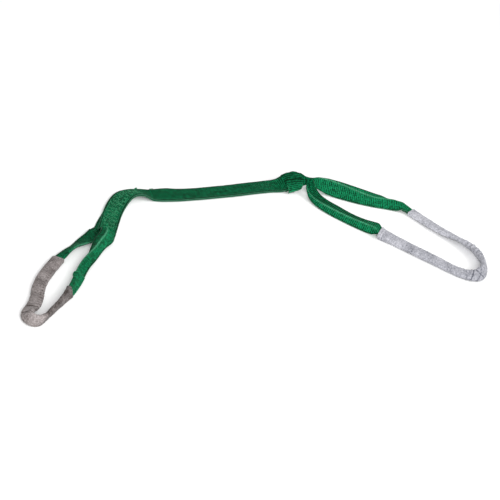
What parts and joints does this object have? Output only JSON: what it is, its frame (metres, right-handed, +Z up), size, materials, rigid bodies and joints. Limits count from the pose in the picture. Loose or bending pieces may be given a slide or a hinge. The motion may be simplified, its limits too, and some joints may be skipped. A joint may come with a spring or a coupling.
{
  "type": "flat web sling",
  "caption": "Duplex flat webbing lifting sling laid out on the ground, with a sewn body and an open eye at each end folded lengthwise inside a wear sleeve.",
  "frame": {"origin": "on the ground under the middle of the laid-out sling's bounding box", "axes": "+X along the sewn body from the left eye to the right eye, +Z up from the ground; both eyes lie towards -Y"},
  "size_m": [1.5654, 0.5429, 0.0522],
  "materials": {
    "webbing": "woven, slightly glossy, cross ribbed",
    "thread": "sewing thread",
    "lining": "woven, matt",
    "left_sleeve": "tubular fabric, matt, soiled",
    "right_sleeve": "tubular fabric, matt, clean",
    "hem": "folded and sewn fabric edge"
  },
  "bodies": {
    "middle_left": {"middle_left_bottom_ply": "webbing", "middle_left_top_ply": "webbing", "middle_left_near_seam": "thread", "middle_left_far_seam": "thread"},
    "middle_right": {"middle_right_bottom_ply": "webbing", "middle_right_top_ply": "webbing", "middle_right_near_seam": "thread", "middle_right_far_seam": "thread", "right_throat_stitching": "thread", "right_throat_wrap": "webbing", "right_wrap_cut_end": "webbing"},
    "left_end": {"left_end_bottom_ply": "webbing", "left_end_top_ply": "webbing", "left_end_near_seam": "thread", "left_end_far_seam": "thread", "left_throat_stitching": "thread"},
    "left_eye": {"left_eye_web": "webbing", "left_eye_lining": "lining", "left_wear_sleeve": "left_sleeve", "left_sleeve_first_hem": "hem", "left_sleeve_second_hem": "hem", "left_sleeve_seam": "left_sleeve"},
    "right_eye": {"right_eye_web": "webbing", "right_eye_lining": "lining", "right_wear_sleeve": "right_sleeve", "right_sleeve_first_hem": "hem", "right_sleeve_second_hem": "hem", "right_sleeve_seam": "right_sleeve"}
  },
  "joints": [
    {"name": "left_corner_fold", "type": "hinge", "parent": "middle_left", "child": "left_end", "pos_m": [-0.071, 0.245, 0.0033], "axis": [0.2241, 0.9746, 0], "range_deg": [-75, 75]},
    {"name": "left_throat_fold", "type": "hinge", "parent": "left_end", "child": "left_eye", "pos_m": [-0.31, 0.103, 0.0033], "axis": [-0.7474, 0.6644, 0], "range_deg": [-90, 90]},
    {"name": "middle_fold", "type": "hinge", "parent": "middle_left", "child": "middle_right", "pos_m": [0.19, 0.238, 0.0033], "axis": [0.0416, -0.9991, 0], "range_deg": [-80, 80]},
    {"name": "right_throat_fold", "type": "hinge", "parent": "middle_right", "child": "right_eye", "pos_m": [0.428, 0.22, 0.03], "axis": [-0.2385, -0.6657, -0.7071], "range_deg": [-90, 90]}
  ]
}
